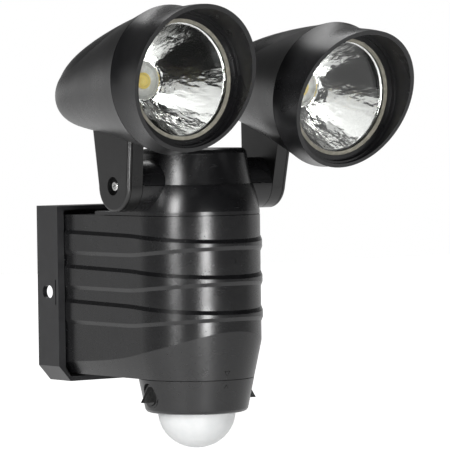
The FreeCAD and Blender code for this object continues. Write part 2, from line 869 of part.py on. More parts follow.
def lower_collar():
    lid = plan_face(housing_r - 0.1, column_y + lid_length, lid_low_z)
    lid = lid.extrude(V(0, 0, lid_thick))
    outside = lathe_edges(collar_outline(0, lid_low_z, seam_low_z), column_base)
    sleeve = knuckles(knuckle_r, knuckle_end).common(half_space(lid_low_z, seam_low_z))
    body = fused([lid, outside, sleeve])
    room = lathe_edges(collar_outline(collar_wall, lid_low_z + lid_thick, pivot_z + 1),
                       column_base)
    body = body.cut(room).cut(knuckle_core())
    body = body.cut(rod(cable_hole_r, V(0, column_y, lid_low_z - 1),
                        V(0, column_y, lid_low_z + lid_thick + 1)))
    body = body.cut(tube_wall(collar_seal_out + ring_seal_fit, collar_seal_in - ring_seal_fit,
                              V(0, column_y, lid_low_z - 1),
                              V(0, column_y, lid_low_z + collar_seal_sink)))
    for x, y in lid_screw_places():
        body = body.cut(rod(screw_r + screw_fit, V(x, y, lid_low_z - 1), V(x, y, pivot_z)))
    for step in (-1, 1):
        y = column_y + step * cap_screw_y
        body = body.cut(rod(screw_r + screw_fit, V(0, y, lid_low_z - 1), V(0, y, pivot_z)))
        body = body.cut(rod(screw_head_r + part_gap, V(0, y, lid_low_z - 1),
                            V(0, y, lid_low_z + cap_screw_sink)))
    return body


def top_cap():
    outside = cap_outside()
    sleeve = knuckles(knuckle_r, knuckle_end).common(half_space(seam_high_z, cap_top_z))
    body = fused([outside, sleeve])
    room = cap_solid(collar_wall, pivot_z - 1)
    body = body.cut(room).cut(knuckle_core())
    posts = []
    for step in (-1, 1):
        y = column_y + step * cap_screw_y
        post = rod(boss_r, V(0, y, lid_low_z + lid_thick), V(0, y, cap_top_z - 1))
        posts.append(post.cut(rod(screw_r, V(0, y, lid_low_z), V(0, y, pivot_z))))
    return fused([body] + posts)


save("lower_collar", lower_collar())
save("top_cap", top_cap())
save("collar_seal", tube_wall(collar_seal_out, collar_seal_in, V(0, column_y, housing_top_z),
                              V(0, column_y, lid_low_z + collar_seal_sink)))
save("collar_screws", *[cross_screw(V(x, y, lid_low_z + lid_thick), Z_AXIS, lid_screw_long)
                        for x, y in lid_screw_places()])
save("cap_screws", *[cross_screw(V(0, column_y + step * cap_screw_y,
                                   lid_low_z + cap_screw_sink),
                                 V(0, 0, -1), cap_screw_long) for step in (-1, 1)])


# --------------------------------------------------------------- sensor unit
def knob_axis(angle):
    turn = math.radians(angle)
    return V(math.sin(turn), -math.cos(turn), 0)


def sensor_face_r(z):
    """Outer radius of the sensor cap at a height."""
    share = (sensor_top_z - z) / sensor_high
    return sensor_top_r + (sensor_foot_r - sensor_top_r) * share


cup_floor_r = sensor_face_r(knob_z) - knob_thick - 0.9
knob_back_r = cup_floor_r + part_gap


def sensor_cap():
    top = sensor_top_z
    foot = sensor_foot_z
    foot_edge_r = sensor_face_r(foot + sensor_round)
    inner_foot_r = sensor_foot_r - sensor_wall - 0.6
    inner_top_r = sensor_top_r - sensor_wall - 0.4
    inner_spigot_r = spigot_r - spigot_wall
    body = lathe([(sensor_top_r, top), (foot_edge_r, foot + sensor_round),
                  (sensor_foot_r - 0.5, foot + 0.55), (sensor_foot_r - sensor_round, foot),
                  (dome_r + part_gap, foot), (dome_r + part_gap, foot + dome_seat),
                  (inner_foot_r, foot + dome_seat), (inner_top_r, top - 2.0),
                  (inner_spigot_r, top - 2.0), (inner_spigot_r, top + spigot_high),
                  (spigot_r, top + spigot_high), (spigot_r, top)], column_base)
    body = fused([body] + [lug(angle, 0) for angle in lug_angles])
    for angle in (mode_knob_angle, timer_knob_angle):
        out = knob_axis(angle)
        centre = V(0, column_y, knob_z)
        cup = rod(knob_r + part_gap + knob_cup_wall, centre + out * (cup_floor_r - knob_cup_floor),
                  centre + out * (cup_floor_r + 2.0))
        body = body.fuse(cup)
        body = body.cut(rod(knob_r + part_gap, centre + out * cup_floor_r,
                            centre + out * (sensor_top_r + 4)))
        body = body.cut(rod(knob_shaft_r + running_gap, centre + out * (cup_floor_r - 3),
                            centre + out * (cup_floor_r + 1)))
    body = body.cut(tube_wall(cap_seal_out + ring_seal_fit, cap_seal_in - ring_seal_fit,
                              V(0, column_y, top - cap_seal_sink), V(0, column_y, top + 1)))
    body = body.cut(arrow_mark(top - arrow_rise, 1, sensor_top_r - arrow_slope))
    return body.removeSplitter()


def dome():
    """The milky dome: a short collar and a nearly round bowl."""
    def bowl(radius, height, top):
        points = []
        count = 13
        for step in range(count):
            turn = math.radians(90.0 * step / (count - 1))
            points.append(V(radius * math.cos(turn), 0, sensor_foot_z - height * math.sin(turn)))
        bowl_curve = Part.BSplineCurve()
        bowl_curve.interpolate(points)
        low = V(0, 0, sensor_foot_z - height)
        edges = [bowl_curve.toShape(), line(low, V(0, 0, top)),
                 line(V(0, 0, top), V(radius, 0, top)),
                 line(V(radius, 0, top), points[0])]
        return lathe_edges(edges, column_base)

    flange_low = sensor_foot_z + dome_seat
    flange_top = flange_low + dome_wall
    body = bowl(dome_r, dome_high, flange_low + dome_wall / 2)
    flange = rod(dome_flange_r, V(0, column_y, flange_low), V(0, column_y, flange_top))
    body = fused([body, flange])
    return body.cut(bowl(dome_r - dome_wall, dome_high - dome_wall, flange_top + 1))


ring_low_z = sensor_foot_z + dome_seat + dome_wall
board_low_z = ring_low_z + ring_high
board_top_z = board_low_z + board_thick


def knob(angle):
    """A rotary knob with a wedge-shaped pointer fin, its shaft inwards."""
    out = knob_axis(angle)
    centre = V(0, column_y, knob_z)
    disc = rod(knob_r, centre + out * knob_back_r, centre + out * (knob_back_r + knob_thick))
    shaft = rod(knob_shaft_r, centre + out * (switch_face_r + part_gap),
                centre + out * (knob_back_r + 0.5))
    face_r = knob_back_r + knob_thick
    half = knob_r * 0.72
    side = out.cross(Z_AXIS)
    start = centre - side * (knob_fin_thick / 2)
    fin = slab([start + out * (face_r - 0.5) + V(0, 0, half),
                start + out * (face_r + knob_fin_high) + V(0, 0, half),
                start + out * (face_r + knob_fin_low) + V(0, 0, -half),
                start + out * (face_r - 0.5) + V(0, 0, -half)], side * knob_fin_thick)
    return fused([disc, shaft, fin])


switch_face_r = cup_floor_r - switch_back


def switch_body(angle):
    out = knob_axis(angle)
    side = out.cross(Z_AXIS)
    half = switch_size / 2
    centre = V(0, column_y, 0)
    back = centre + out * (switch_face_r - switch_deep) - side * half
    return slab([back + V(0, 0, board_top_z), back + side * switch_size + V(0, 0, board_top_z),
                 back + side * switch_size + V(0, 0, knob_z + half),
                 back + V(0, 0, knob_z + half)], out * switch_deep)


save("sensor_cap", sensor_cap())
save("sensor_dome", dome())
save("dome_ring", tube_wall(ring_out, ring_in, V(0, column_y, ring_low_z),
                            V(0, column_y, board_low_z)))
save("cap_seal", tube_wall(cap_seal_out, cap_seal_in,
                           V(0, column_y, sensor_top_z - cap_seal_sink),
                           V(0, column_y, sensor_top_z + cap_seal_proud)))
save("sensor_board", rod(sensor_board_r, V(0, column_y, board_low_z),
                         V(0, column_y, board_top_z)))
save("heat_sensor", fused([rod(pyro_r, V(0, column_y, board_low_z),
                               V(0, column_y, board_low_z - pyro_high)),
                           rod(pyro_r + pyro_base, V(0, column_y, board_low_z),
                               V(0, column_y, board_low_z - pyro_base_high))]))
save("light_cell", rod(light_cell_r, V(light_cell_x, column_y, board_low_z),
                       V(light_cell_x, column_y, board_low_z - light_cell_high)))
save("mode_knob", knob(mode_knob_angle))
save("mode_switch", switch_body(mode_knob_angle))
save("timer_knob", knob(timer_knob_angle))
save("timer_control", switch_body(timer_knob_angle))


# ------------------------------------------------------------- arms and heads
# Each arm and head is drawn with its pivot at the origin and its head level,
# then tilted and carried to its place. Across is X, forward is -Y.
def head_point(a, h, x):
    """A point on a head: a ahead of the lens plane, h above the head's axis."""
    return V(x, -(head_forward + a), head_up + h)


def turn_on_head_axis(edges, x):
    """Turn an outline, drawn as X = radius and Z = distance ahead, into a head ring."""
    outline = Part.Face(Part.Wire(Part.__sortEdges__(edges)))
    solid = outline.revolve(V(0, 0, 0), Z_AXIS, 360)
    solid.Placement = FreeCAD.Placement(head_point(0, 0, x),
                                        FreeCAD.Rotation(Z_AXIS, V(0, -1, 0)))
    return solid


def head_lathe(points, x):
    """The same for a plain outline of (ahead, radius) points."""
    corners = [V(r, 0, a) for a, r in points]
    edges = [line(p, q) for p, q in zip(corners, corners[1:] + corners[:1])]
    return turn_on_head_axis(edges, x)


def bullet(x, radius, rise, long, taper, blunt, sag, sag_power):
    """A long round form behind the seam, its far end blunt and hanging a little."""
    count = 12
    rings = []
    for step in range(count + 1):
        share = math.sin(math.radians(87.0 * step / count))
        ring_r = radius * (1 - taper * share) * (1 - share ** blunt) ** 0.5
        centre = head_point(shell_seam_a - share * long, rise - sag * share ** sag_power, x)
        rings.append(Part.Wire(Part.Circle(centre, Y_AXIS, ring_r).toShape()))
    return Part.makeLoft(rings, True, False)


def shell_form(x, inset):
    """The head shell's outside, or its inside when inset by the wall."""
    main = bullet(x, shell_seam_r - inset, 0.0, shell_long - inset, shell_taper,
                  shell_blunt, shell_sag, shell_sag_power)
    crest = bullet(x, crest_r - inset, crest_rise, crest_long - inset, crest_taper,
                   crest_blunt, crest_sag, crest_sag_power)
    return main.fuse(crest)


def shell_floor(f, inset):
    """Height of the shell's underside, f ahead of the pivot, above the pivot."""
    share = (head_forward + shell_seam_a - f) / (shell_long - inset)
    radius = (shell_seam_r - inset) * (1 - shell_taper * share)
    radius *= (1 - share ** shell_blunt) ** 0.5
    return head_up - shell_sag * share ** shell_sag_power - radius


def arm_prism(inset, x0, x1):
    """The arm's side view: a round lower end and edges that spread upwards."""
    radius = arm_end_r - inset
    corners = [V(x0, -radius, 0), V(x0, -radius - arm_front_lean, arm_edge_high),
               V(x0, radius + arm_back_lean, arm_edge_high), V(x0, radius, 0)]
    edges = [line(corners[0], corners[1]), line(corners[1], corners[2]),
             line(corners[2], corners[3]), arc(corners[3], V(x0, 0, -radius), corners[0])]
    return Part.Face(Part.Wire(edges)).extrude(V(x1 - x0, 0, 0))


spigot_end_x = knuckle_end - knuckle_end_wall - part_gap


def arm_screw_seat(f):
    """Height of an arm screw's head, on the shell's inner face."""
    return shell_floor(f, shell_wall) + arm_screw_lift


def arm_shell(side, room):
    inner = side * arm_inner_x
    outer = side * (arm_outer_x - arm_cover_thick - arm_groove)
    floor = side * (arm_inner_x + arm_wall)
    body = arm_prism(0, inner, outer).cut(arm_prism(arm_wall, floor, outer + side))
    spigot = rod(spigot_pivot_r, V(inner + side, 0, 0), V(side * spigot_end_x, 0, 0))
    pillar = rod(pillar_r, V(inner, 0, 0),
                 V(side * (arm_outer_x - pivot_cup_deep - pivot_cup_floor - shadow_gap / 2), 0, 0))
    screw_x = side * arm_screw_x
    posts = [rod(boss_r, V(screw_x, -f, arm_end_r), V(screw_x, -f, arm_edge_high - 1))
             .common(arm_prism(0, inner, outer)) for f in arm_screw_forward]
    body = fused([body, spigot, pillar] + posts)
    body = body.cut(room)
    body = body.cut(rod(screw_r + screw_fit, V(0, 0, 0), V(side * arm_outer_x, 0, 0)))
    lead_way = rod(lead_r + part_gap, V(side * (spigot_end_x - 1), 0, lead_rise),
                   V(floor + side, 0, lead_rise))
    body = body.cut(lead_way)
    for f in arm_screw_forward:
        body = body.cut(rod(screw_r, V(screw_x, -f, arm_end_r + arm_wall),
                            V(screw_x, -f, arm_edge_high)))
    groove = tube_wall(pivot_seal_out + ring_seal_fit, pivot_seal_in - ring_seal_fit,
                       V(inner - side, 0, 0), V(inner + side * pivot_seal_sink, 0, 0))
    return body.cut(groove)


def arm_cover(side, room):
    outer = side * arm_outer_x
    plate = arm_prism(0, side * (arm_outer_x - arm_cover_thick), outer)
    rim = [edge for edge in plate.Edges
           if all(abs(vertex.X - outer) < 0.001 for vertex in edge.Vertexes)]
    rim = [edge for edge in rim if edge.CenterOfMass.z < arm_edge_high - 0.1]
    plate = plate.makeFillet(arm_edge_round, rim)
    floor_x = side * (arm_outer_x - pivot_cup_deep)
    cup = rod(pivot_cup_r + pivot_cup_wall, V(floor_x - side * pivot_cup_floor, 0, 0),
              V(outer - side * arm_cover_thick / 2, 0, 0))
    body = fused([plate, cup]).cut(room)
    body = body.cut(rod(pivot_cup_r, V(floor_x, 0, 0), V(outer + side, 0, 0)))
    return body.cut(rod(screw_r + screw_fit, V(0, 0, 0), V(outer, 0, 0)))


def head_shell(side, form):
    x = side * head_x
    body = form.cut(shell_form(x, shell_wall))
    web_front_a = shell_web_a + shell_web_thick
    web = rod(shell_seam_r, head_point(shell_web_a, 0, x), head_point(web_front_a, 0, x))
    web = web.cut(rod(shell_web_r, head_point(shell_web_a - 1, 0, x),
                      head_point(web_front_a + 1, 0, x)))
    web = web.common(shell_form(x, shell_wall / 2))
    body = fused([body, web])
    screw_x = side * arm_screw_x
    below = arm_end_r
    above = head_up - crest_r / 3
    body = body.cut(rod(lead_r * 2, V(screw_x, lead_hole_back, below),
                        V(screw_x, lead_hole_back, above)))
    for f in arm_screw_forward:
        body = body.cut(rod(screw_r + screw_fit, V(screw_x, -f, below), V(screw_x, -f, above)))
    return body


def bezel(side):
    x = side * head_x
    seam = shell_seam_a + shadow_gap
    outer = [V(shell_seam_r, 0, seam), V(hood_valley_r, 0, hood_valley_a),
             V(hood_lip_r, 0, hood_lip_a), V(hood_end_r, 0, hood_end_a)]
    curve = Part.BSplineCurve()
    curve.interpolate(outer)
    bore = hood_lip_r - hood_wall
    lip_r = seal_ring_out + bezel_lip_fit
    pocket_r = lens_r + lens_fit
    plug_end = shell_seam_a - bezel_plug_long
    plug_bore = bezel_plug_r - bezel_plug_wall
    inner = [(hood_end_a, bore - 0.3), (bezel_ledge_a, bore - 0.8), (bezel_ledge_a, bore - 2.2),
             (bezel_lip_a, bore - 2.4), (bezel_lip_a, lip_r), (bezel_lip_back, lip_r),
             (bezel_lip_back, pocket_r), (bezel_bore_end, pocket_r), (bezel_bore_end, plug_bore),
             (plug_end, plug_bore), (plug_end, bezel_plug_r), (seam, bezel_plug_r)]
    corners = [outer[-1]] + [V(r, 0, a) for a, r in inner] + [outer[0]]
    edges = [curve.toShape()] + [line(p, q) for p, q in zip(corners, corners[1:])]
    body = turn_on_head_axis(edges, x)
    lean = math.degrees(math.atan(hood_cut_slope))
    reach = 2 * shell_seam_r
    tool = box(-reach, reach, -reach, 0, -reach, reach)
    tool.rotate(V(0, 0, 0), X_AXIS, lean)
    tool.translate(head_point(hood_cut_a, 0, x))
    return body.cut(tool)


def reflector(side):
    """A deep parabolic mirror with a flat flange under the lens."""
    x = side * head_x
    mouth_a = lens_back_a - 0.05
    depth = mouth_a - mirror_neck_a
    focal = (mirror_r ** 2 - mirror_neck_r ** 2) / (4 * depth)
    inside = []
    count = 8
    for step in range(count + 1):
        radius = mirror_neck_r + (mirror_r - mirror_neck_r) * step / count
        ahead = mirror_neck_a + (radius ** 2 - mirror_neck_r ** 2) / (4 * focal)
        inside.append(V(radius, 0, ahead))
    outside = [V(p.x + mirror_wall, 0, p.z - mirror_wall * 0.3) for p in inside]
    inner = Part.BSplineCurve()
    inner.interpolate(inside)
    outer = Part.BSplineCurve()
    outer.interpolate(outside)
    collar_end = emitter_a + 0.1
    flange = lens_r - 0.1
    path = [outside[-1], V(flange, 0, outside[-1].z - 0.8), V(flange, 0, mouth_a), inside[-1]]
    edges = [inner.toShape(), outer.toShape()]
    edges += [line(p, q) for p, q in zip(path, path[1:])]
    path = [inside[0], V(mirror_neck_r, 0, collar_end),
            V(mirror_neck_r + mirror_wall, 0, collar_end), outside[0]]
    edges += [line(p, q) for p, q in zip(path, path[1:])]
    return turn_on_head_axis(edges, x)


def emitter(x):
    """The light-emitting element: a low round base with a domed top."""
    base = rod(emitter_base_r, head_point(emitter_a, 0, x),
               head_point(emitter_a + emitter_base_high, 0, x))
    ball = Part.makeSphere(emitter_dome_r, head_point(emitter_a + emitter_dome_sink, 0, x))
    room = rod(emitter_base_r, head_point(emitter_a + emitter_base_high / 2, 0, x),
               head_point(emitter_a + 2 * emitter_dome_r, 0, x))
    return fused([base, ball.common(room)])


def heat_sink(side):
    x = side * head_x
    front = emitter_a - board_thick
    back = front - sink_base
    body = [rod(sink_r, head_point(front, 0, x), head_point(back, 0, x))]
    reach = shell_web_r - 0.8
    for step in range(sink_fins):
        h = (step - (sink_fins - 1) / 2) * 2 * reach / (sink_fins + 0.6)
        half = (reach ** 2 - h ** 2) ** 0.5
        start = head_point(back + 0.2, h, x)
        body.append(box(x - half, x + half, start.y, start.y + sink_fin_long,
                        start.z - sink_fin_thick / 2, start.z + sink_fin_thick / 2))
    return fused(body)


def nut(side):
    outer = side * (spigot_end_x - washer_thick)
    corner_r = nut_r / math.cos(math.radians(30))
    corners = []
    for step in range(6):
        turn = math.radians(60 * step)
        corners.append(V(outer, corner_r * math.cos(turn), corner_r * math.sin(turn)))
    solid = slab(corners, V(-side * nut_thick, 0, 0))
    return solid.cut(rod(screw_r + thread_gap, V(0, 0, 0), V(outer + side, 0, 0)))


def washer(side):
    outer = side * spigot_end_x
    solid = rod(washer_r, V(outer, 0, 0), V(outer - side * washer_thick, 0, 0))
    solid = solid.cut(rod(screw_r + screw_fit, V(0, 0, 0), V(outer + side, 0, 0)))
    return solid.cut(rod(lead_r + part_gap, V(0, 0, lead_rise), V(outer + side, 0, lead_rise)))


def place(solid, tilt):
    """Tilt a head piece about the pivot and carry it to the lamp."""
    moved = solid.copy()
    moved.rotate(V(0, 0, 0), X_AXIS, -tilt)
    moved.translate(V(0, pivot_y, pivot_z))
    return moved


def make_head(word, side, tilt):
    x = side * head_x
    form = shell_form(x, 0)
    arm_room = shell_form(x, -arm_fit)
    screw_seat = V(side * (arm_outer_x - pivot_cup_deep), 0, 0)
    reach = arm_outer_x - pivot_cup_deep - (spigot_end_x - washer_thick - nut_thick - 0.5)
    pieces = {
        "arm_shell": [arm_shell(side, arm_room)],
        "arm_cover": [arm_cover(side, arm_room)],
        "pivot_screw": [cross_screw(screw_seat, V(side, 0, 0), reach)],
        "pivot_washer": [washer(side)],
        "pivot_nut": [nut(side)],
        "pivot_seal": [tube_wall(pivot_seal_out, pivot_seal_in,
                                 V(side * (knuckle_end + pivot_seal_gap), 0, 0),
                                 V(side * (arm_inner_x + pivot_seal_sink), 0, 0))],
        "head_shell": [head_shell(side, form)],
        "arm_screws": [cross_screw(V(side * arm_screw_x, -f, arm_screw_seat(f)), Z_AXIS,
                                   arm_screw_long) for f in arm_screw_forward],
        "bezel": [bezel(side)],
        "lens": [head_lathe([(lens_back_a, 0), (lens_back_a, lens_r),
                             (lens_back_a + lens_thick - lens_bevel, lens_r),
                             (lens_back_a + lens_thick, lens_r - lens_bevel),
                             (lens_back_a + lens_thick, 0)], x)],
        "lens_seal": [head_lathe([(lens_back_a + lens_thick, seal_ring_r),
                                  (lens_back_a + lens_thick, seal_ring_out),
                                  (seal_ring_front, seal_ring_out),
                                  (seal_ring_front, seal_ring_r)], x)],
        "reflector": [reflector(side)],
        "emitter_board": [rod(emitter_board_r, head_point(emitter_a, 0, x),
                              head_point(emitter_a - board_thick, 0, x))],
        "emitter": [emitter(x)],
        "heat_sink": [heat_sink(side)],
    }
    for name, solids in pieces.items():
        save(word + "_" + name, *[place(solid, tilt) for solid in solids])


make_head("left", -1, left_tilt)
make_head("right", 1, right_tilt)
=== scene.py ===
import bmesh
import bpy
import math
from mathutils import Matrix, Vector


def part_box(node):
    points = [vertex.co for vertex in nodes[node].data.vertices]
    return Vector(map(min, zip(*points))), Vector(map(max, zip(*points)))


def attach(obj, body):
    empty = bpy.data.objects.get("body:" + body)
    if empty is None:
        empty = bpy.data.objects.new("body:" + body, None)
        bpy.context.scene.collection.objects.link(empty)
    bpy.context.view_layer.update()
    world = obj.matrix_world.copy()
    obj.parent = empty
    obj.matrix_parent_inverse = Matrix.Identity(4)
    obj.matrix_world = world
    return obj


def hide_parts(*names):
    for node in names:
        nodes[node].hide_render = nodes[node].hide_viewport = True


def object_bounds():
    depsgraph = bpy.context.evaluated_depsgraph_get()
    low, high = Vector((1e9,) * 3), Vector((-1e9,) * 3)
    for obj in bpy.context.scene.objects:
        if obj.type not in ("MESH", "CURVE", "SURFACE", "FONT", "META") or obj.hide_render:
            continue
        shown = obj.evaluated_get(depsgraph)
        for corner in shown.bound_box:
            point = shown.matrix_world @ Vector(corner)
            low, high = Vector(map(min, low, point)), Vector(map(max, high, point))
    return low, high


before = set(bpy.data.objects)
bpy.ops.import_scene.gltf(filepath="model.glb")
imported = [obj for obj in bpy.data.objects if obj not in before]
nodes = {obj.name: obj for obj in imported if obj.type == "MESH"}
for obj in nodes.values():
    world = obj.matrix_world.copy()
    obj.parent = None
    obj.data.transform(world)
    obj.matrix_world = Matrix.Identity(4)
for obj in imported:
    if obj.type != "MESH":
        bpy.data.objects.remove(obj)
cad_low, cad_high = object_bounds()


# ------------------------------------------------------------- wall bracket
# The shallow tray that is screwed to the wall, one moulding in black ABS.
# Its faces carry the fine matt grain of a spark-eroded mould.
def shader(material, kind, **inputs):
    """Adds a shader node and sets its sockets and options by name."""
    made = material.node_tree.nodes.new(kind)
    for name, value in inputs.items():
        socket = name.replace("_", " ")
        if socket in made.inputs:
            made.inputs[socket].default_value = value
        else:
            setattr(made, name, value)
    return made


def wire(material, start, end, out=0):
    """Links an output to a (node, input) pair."""
    material.node_tree.links.new(start.outputs[out], end[0].inputs[end[1]])


def new_material(name):
    material = bpy.data.materials.new(name)
    material.use_nodes = True
    surface = material.node_tree.nodes["Principled BSDF"]
    place = shader(material, "ShaderNodeTexCoord")
    return material, surface, place


def noise(material, place, size, detail=3.0, stretch=(1, 1, 1)):
    """Noise whose grains are about size metres across."""
    scaled = shader(material, "ShaderNodeMapping")
    scaled.inputs["Scale"].default_value = [1 / s for s in stretch]
    wire(material, place, (scaled, "Vector"), "Object")
    made = shader(material, "ShaderNodeTexNoise", Scale=1 / size, Detail=detail)
    wire(material, scaled, (made, "Vector"))
    return made


def spread(material, source, low, high, start=0.3, end=0.7):
    """Maps a grey signal from start..end onto low..high."""
    made = shader(material, "ShaderNodeMapRange")
    made.inputs["From Min"].default_value = start
    made.inputs["From Max"].default_value = end
    made.inputs["To Min"].default_value = low
    made.inputs["To Max"].default_value = high
    wire(material, source, (made, "Value"))
    return made


def emboss(material, surface, heights):
    """Stacks bumps: (grey signal, depth in metres) pairs."""
    below = None
    for source, depth in heights:
        bump = shader(material, "ShaderNodeBump", Distance=depth, Strength=1.0)
        wire(material, source, (bump, "Height"))
        if below:
            wire(material, below, (bump, "Normal"))
        below = bump
    wire(material, below, (surface, "Normal"))


def blend_colours(material, factor, first, second):
    made = shader(material, "ShaderNodeMix", data_type="RGBA")
    made.inputs["A"].default_value = (*first, 1)
    made.inputs["B"].default_value = (*second, 1)
    wire(material, factor, (made, "Factor"))
    return made


def moulded_black(name, tone, rough, grain, depth):
    """Black ABS: moulding grain, cloudy gloss, faint rub marks and dust."""
    material, surface, place = new_material(name)
    cloud_size, rub_size, dust_size = 0.022, 0.0016, 0.006
    cloud_depth = 0.00012
    dust_lift = 1.5
    cloud = noise(material, place, cloud_size, 2.0)
    fine = noise(material, place, grain, 2.0)
    rubs = noise(material, place, rub_size, 2.0, (9.0, 1.0, 1.0))
    dust = noise(material, place, dust_size, 6.0)
    light = [min(1.0, c * dust_lift) for c in tone]
    dusty = spread(material, dust, 0.0, 1.0, 0.45, 0.85)
    colour = blend_colours(material, dusty, tone, light)
    wire(material, colour, (surface, "Base Color"), "Result")
    gloss = spread(material, cloud, rough - 0.035, rough + 0.045)
    rubbed = spread(material, rubs, 0.0, 0.05, 0.62, 0.72)
    total = shader(material, "ShaderNodeMath", operation="ADD")
    wire(material, gloss, (total, 0))
    wire(material, rubbed, (total, 1))
    wire(material, total, (surface, "Roughness"))
    emboss(material, surface, [(cloud, cloud_depth), (fine, depth)])
    surface.inputs["IOR"].default_value = 1.52
    return material


def dress(material, *names):
    for name in names:
        for slot in nodes[name].material_slots:
            slot.material = material


bracket_black = moulded_black("bracket_black", tone=(0.012, 0.012, 0.013), rough=0.36,
                              grain=0.00035, depth=0.00002)
dress(bracket_black, "wall_bracket")


# --------------------------------------------- spring clips and their rivets
# Bent spring steel, zinc plated, riveted through the tray's back plate. They
# grip the two tongues on the housing.
def metal(name, tone, rough, brush, stretch=(1, 1, 14)):
    """Plated or turned metal with drawing marks and a clouded plating."""
    material, surface, place = new_material(name)
    marks = noise(material, place, brush, 4.0, stretch)
    cloud = noise(material, place, 0.004, 3.0)
    dull = [c * 0.72 for c in tone]
    colour = blend_colours(material, spread(material, cloud, 0.0, 1.0), tone, dull)
    wire(material, colour, (surface, "Base Color"), "Result")
    wire(material, spread(material, marks, rough - 0.08, rough + 0.12), (surface, "Roughness"))
    emboss(material, surface, [(marks, 0.000015)])
    surface.inputs["Metallic"].default_value = 1.0
    return material


spring_steel = metal("spring_steel", tone=(0.62, 0.63, 0.64), rough=0.3, brush=0.0004,
                     stretch=(14, 1, 1))
dress(spring_steel, "spring_clips", "clip_rivets")


# ------------------------------------------------------------------- housing
# The battery box and the round column in one black ABS moulding, with three
# raised bands that wrap it. It is polished a little brighter than the bracket.
body_black = moulded_black("body_black", tone=(0.005, 0.005, 0.0055), rough=0.25,
                           grain=0.00028, depth=0.000022)
dress(body_black, "housing")


# ------------------------------------- battery door, its seal and its screws
# A flat plate that closes the battery space from the back, on a foam-rubber
# ring, held by four pan-head screws.
def rubber(name, tone, rough, grain):
    """Matt elastomer with a talc bloom."""
    material, surface, place = new_material(name)
    bloom = noise(material, place, 0.003, 5.0)
    skin = noise(material, place, grain, 3.0)
    pale = [min(1.0, c * 1.6 + 0.01) for c in tone]
    colour = blend_colours(material, spread(material, bloom, 0.0, 1.0, 0.45, 0.8), tone, pale)
    wire(material, colour, (surface, "Base Color"), "Result")
    wire(material, spread(material, bloom, rough - 0.08, rough + 0.08), (surface, "Roughness"))
    emboss(material, surface, [(skin, 0.00003)])
    return material


door_black = moulded_black("door_black", tone=(0.014, 0.014, 0.015), rough=0.42,
                           grain=0.0005, depth=0.00003)
seal_black = rubber("seal_black", tone=(0.02, 0.02, 0.02), rough=0.75, grain=0.0004)
screw_steel = metal("screw_steel", tone=(0.72, 0.72, 0.71), rough=0.24, brush=0.00025,
                    stretch=(1, 14, 1))
dress(door_black, "battery_door")
dress(seal_black, "door_seal")
dress(screw_steel, "door_screws")


# -------------------------------------------- cells, their holder, contacts
# Four large round cells stand in a moulded holder behind the driver board,
# between coil springs below and plate contacts above.
def cell_jacket_material():
    """A printed sleeve: dark body, a paler band under the positive end."""
    material, surface, place = new_material("cell_jacket")
    split = shader(material, "ShaderNodeSeparateXYZ")
    wire(material, place, (split, "Vector"), "Object")
    band_low, band_high = 0.012, 0.0135
    step = shader(material, "ShaderNodeMapRange")
    step.inputs["From Min"].default_value = band_low
    step.inputs["From Max"].default_value = band_high
    wire(material, split, (step, "Value"), "Z")
    colour = blend_colours(material, step, (0.02, 0.03, 0.05), (0.5, 0.46, 0.36))
    wire(material, colour, (surface, "Base Color"), "Result")
    print_grain = noise(material, place, 0.0006, 2.0)
    wire(material, spread(material, print_grain, 0.22, 0.34), (surface, "Roughness"))
    emboss(material, surface, [(print_grain, 0.00001)])
    surface.inputs["Metallic"].default_value = 0.4
    return material


inner_black = moulded_black("inner_black", tone=(0.02, 0.02, 0.021), rough=0.5,
                            grain=0.0006, depth=0.00003)
dress(inner_black, "battery_holder")
dress(cell_jacket_material(), "battery_cells")
dress(spring_steel, "spring_contacts", "plate_contacts")


# ---------------------------------------------------- driver board and parts
# A green glass-fibre board on four posts, with a capacitor and a wound coil
# that stand on it in dark sleeves.
def board_material():
    material, surface, place = new_material("circuit_board")
    tracks = shader(material, "ShaderNodeTexBrick", Scale=220.0)
    tracks.inputs["Mortar Size"].default_value = 0.035
    wire(material, place, (tracks, "Vector"), "Object")
    weave = noise(material, place, 0.0005, 2.0)
    colour = blend_colours(material, tracks, (0.008, 0.09, 0.035), (0.03, 0.2, 0.08))
    wire(material, tracks, (colour, "Factor"), "Fac")
    wire(material, colour, (surface, "Base Color"), "Result")
    wire(material, spread(material, weave, 0.28, 0.42), (surface, "Roughness"))
    emboss(material, surface, [(tracks, 0.00003), (weave, 0.00001)])
    return material


def sleeve_material():
    material, surface, place = new_material("component_sleeve")
    wrap = noise(material, place, 0.002, 3.0)
    colour = blend_colours(material, spread(material, wrap, 0.0, 1.0), (0.01, 0.012, 0.02),
                           (0.02, 0.022, 0.03))
    wire(material, colour, (surface, "Base Color"), "Result")
    wire(material, spread(material, wrap, 0.3, 0.45), (surface, "Roughness"))
    emboss(material, surface, [(wrap, 0.00004)])
    return material


circuit_board = board_material()
component_sleeve = sleeve_material()
dress(circuit_board, "driver_board")
dress(component_sleeve, "driver_capacitor", "driver_coil")


# -------------------------------------------- collar, cap and their fixings
# Two black ABS halves that clamp round the pivots: the lower collar with its
# lid plate, and the round cap above it. Screws hold them from inside.
dress(body_black, "lower_collar", "top_cap")
dress(seal_black, "collar_seal")
dress(screw_steel, "collar_screws", "cap_screws")


